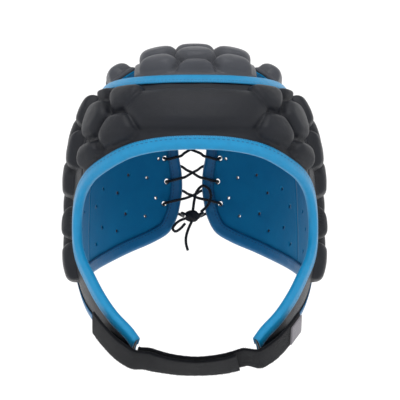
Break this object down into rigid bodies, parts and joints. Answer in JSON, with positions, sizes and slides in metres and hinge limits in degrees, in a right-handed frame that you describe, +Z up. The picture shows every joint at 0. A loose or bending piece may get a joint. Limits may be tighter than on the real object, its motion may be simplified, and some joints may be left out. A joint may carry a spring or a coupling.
{
  "type": "rugby scrum cap",
  "caption": "Soft padded head guard with honeycomb foam cells, bound face opening, open vents in the crown, laced back and a chin strap closed below the chin.",
  "frame": {"origin": "the inside of the crown at its top, on the middle plane, where the cap sits on the top of a head", "axes": "+Z up as worn, the face looks along -Y, +X is the viewer's right seen from the front"},
  "size_m": [0.1908, 0.2134, 0.2323],
  "materials": {
    "shell": "matte charcoal knit over moulded foam",
    "tape": "bright blue stretch binding with a slight sheen",
    "lining": "matte teal blue lining cloth",
    "strap": "black loop pile webbing",
    "tab": "grey hook tape",
    "lace": "black round braid"
  },
  "bodies": {
    "root": {"front_panel": "shell", "front_lining": "lining", "side_panel_right": "shell", "side_panel_left": "shell", "side_lining_right": "lining", "side_lining_left": "lining", "back_panel_right": "shell", "back_panel_left": "shell", "back_lining_right": "lining", "back_lining_left": "lining", "crown_panel": "shell", "crown_lining": "lining", "crown_wing_right": "shell", "crown_wing_left": "shell", "wing_lining_right": "lining", "wing_lining_left": "lining", "band_top_tape": "tape", "face_tape": "tape", "neck_tape_right": "tape", "neck_tape_left": "tape", "chin_strap_left": "strap", "chin_strap_right": "strap", "strap_tab": "tab", "lace_crossed": "lace", "lace_loop_large": "lace", "lace_loop_small": "lace", "lace_end": "lace", "lace_knot": "lace"}
  },
  "joints": []
}
